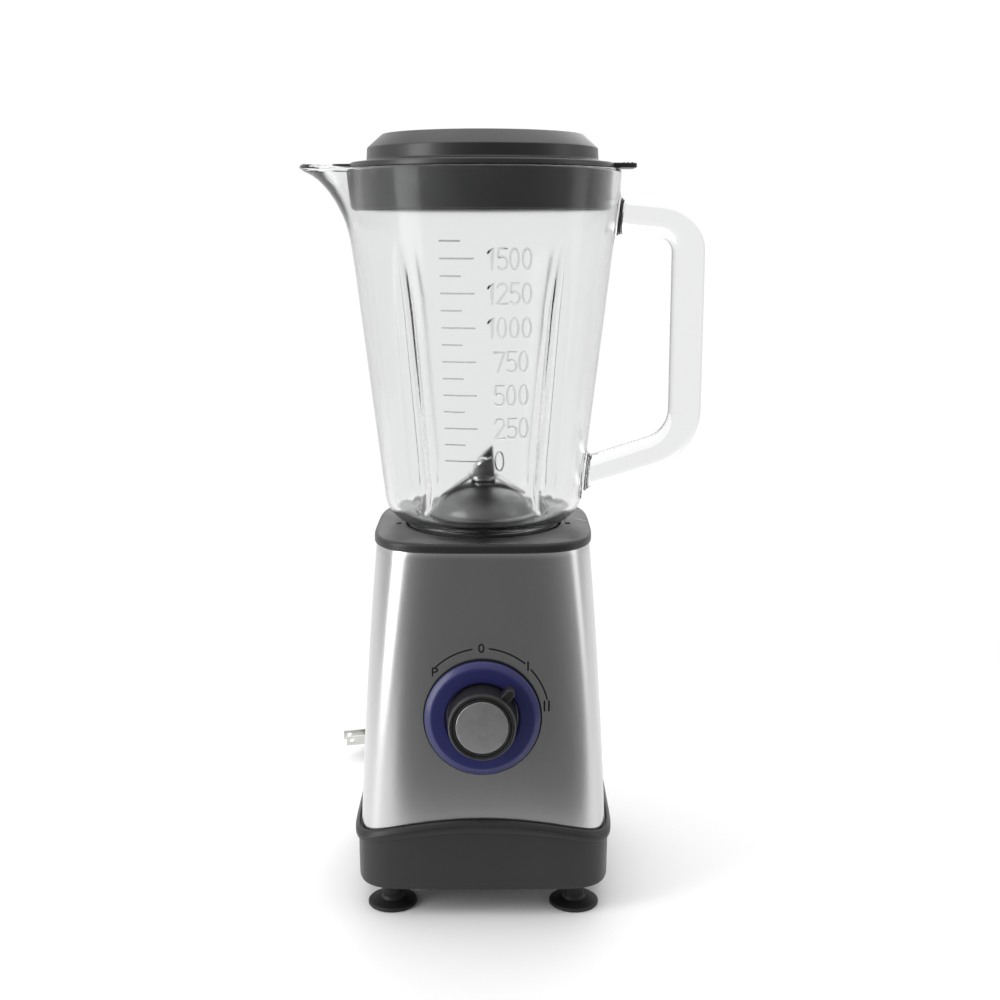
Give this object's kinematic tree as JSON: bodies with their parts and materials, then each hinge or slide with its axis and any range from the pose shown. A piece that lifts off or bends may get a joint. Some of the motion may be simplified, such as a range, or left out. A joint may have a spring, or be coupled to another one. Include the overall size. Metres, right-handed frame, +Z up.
{
  "type": "countertop blender",
  "caption": "Jar blender: clear glass jar with spout, handle and measuring scale, dark lid, blade unit, and a tapered steel motor base with a rotary switch, feet and a coiled mains cord.",
  "frame": {"origin": "on the floor under the drive axis, in the middle of the four feet", "axes": "+Z up along the drive axis; -Y is the front with the dial; +X is the handle's side and -X the spout's"},
  "size_m": [0.225, 0.2818, 0.421],
  "materials": {
    "lid_plastic": "satin",
    "seal_rubber": "matt",
    "jar_glass": "clear",
    "gasket_silicone": "matt",
    "collar_plastic": "satin",
    "blade_steel": "polished",
    "turned_steel": "ground",
    "bush_bronze": "plain",
    "plate_plastic": "satin",
    "housing_steel": "brushed upright",
    "skirt_plastic": "satin",
    "cover_plastic": "fine grain",
    "foot_rubber": "matt",
    "coupling_nylon": "plain",
    "laminations": "laminated",
    "copper_wire": "varnished",
    "commutator_copper": "turned",
    "bracket_alloy": "die-cast",
    "bearing_steel": "ground",
    "holder_brass": "pressed",
    "carbon": "matt",
    "dial_navy": "satin",
    "knob_plastic": "satin",
    "disc_alloy": "spun",
    "switch_plastic": "plain",
    "terminal_plastic": "plain",
    "lead_sleeve": "plain",
    "cord_pvc": "plain",
    "pin_metal": "plated"
  },
  "bodies": {
    "base": {"top_plate": "plate_plastic", "steel_housing": "housing_steel", "base_skirt": "skirt_plastic", "bottom_cover": "cover_plastic", "feet": "foot_rubber", "cover_screws": "turned_steel", "stator_core": "laminations", "field_coils": "copper_wire", "upper_bracket": "bracket_alloy", "lower_bracket": "bracket_alloy", "upper_bearing": "bearing_steel", "lower_bearing": "bearing_steel", "through_bolts": "turned_steel", "brush_holders": "holder_brass", "carbon_brushes": "carbon", "rubber_dampers": "foot_rubber", "damper_screws": "turned_steel", "dial_ring": "dial_navy", "rotary_switch": "switch_plastic", "switch_nut": "turned_steel", "terminal_block": "terminal_plastic", "internal_leads": "lead_sleeve", "cord_clamp": "cover_plastic", "strain_relief": "cord_pvc", "cord_lead": "cord_pvc", "cord_coil": "cord_pvc", "cord_tail": "cord_pvc", "cord_tie": "cord_pvc", "plug_body": "cord_pvc", "plug_blades": "pin_metal"},
    "rotor": {"drive_coupling": "coupling_nylon", "motor_shaft": "turned_steel", "rotor_core": "laminations", "rotor_windings": "copper_wire", "commutator": "commutator_copper", "cooling_fan": "coupling_nylon"},
    "knob": {"knob": "knob_plastic", "knob_disc": "disc_alloy", "switch_spindle": "turned_steel"},
    "jar": {"glass_jar": "jar_glass", "jar_collar": "collar_plastic", "jar_gasket": "gasket_silicone", "blade_holder": "blade_steel", "blade_bush": "bush_bronze", "shaft_seal": "seal_rubber"},
    "blades": {"blade_shaft": "turned_steel", "shaft_clip": "turned_steel", "blade_washer": "blade_steel", "lower_blade": "blade_steel", "upper_blade": "blade_steel", "blade_nut": "blade_steel", "jar_drive_socket": "collar_plastic"},
    "lid": {"lid": "lid_plastic", "lid_seal": "seal_rubber"},
    "cap": {"filler_cap": "lid_plastic"}
  },
  "joints": [
    {"name": "jar_lift", "type": "slide", "parent": "base", "child": "jar", "axis": [0, 0, 1], "range_m": [0, 0.08]},
    {"name": "lid_lift", "type": "slide", "parent": "jar", "child": "lid", "axis": [0, 0, 1], "range_m": [0, 0.05]},
    {"name": "filler_cap_lift", "type": "slide", "parent": "lid", "child": "cap", "axis": [0, 0, 1], "range_m": [0, 0.03]},
    {"name": "motor_spin", "type": "hinge", "parent": "base", "child": "rotor", "pos_m": [0, 0, 0.11], "axis": [0, 0, 1], "continuous": true},
    {"name": "blade_spin", "type": "hinge", "parent": "jar", "child": "blades", "pos_m": [0, 0, 0.22], "axis": [0, 0, 1], "continuous": true},
    {"name": "knob_turn", "type": "hinge", "parent": "base", "child": "knob", "pos_m": [0, -0.06433, 0.114], "axis": [0, -0.9982, 0.0597], "range_deg": [-39, 85]}
  ],
  "couplings": [
    {"joint": "blade_spin", "follows": "motor_spin", "ratio": 1}
  ]
}
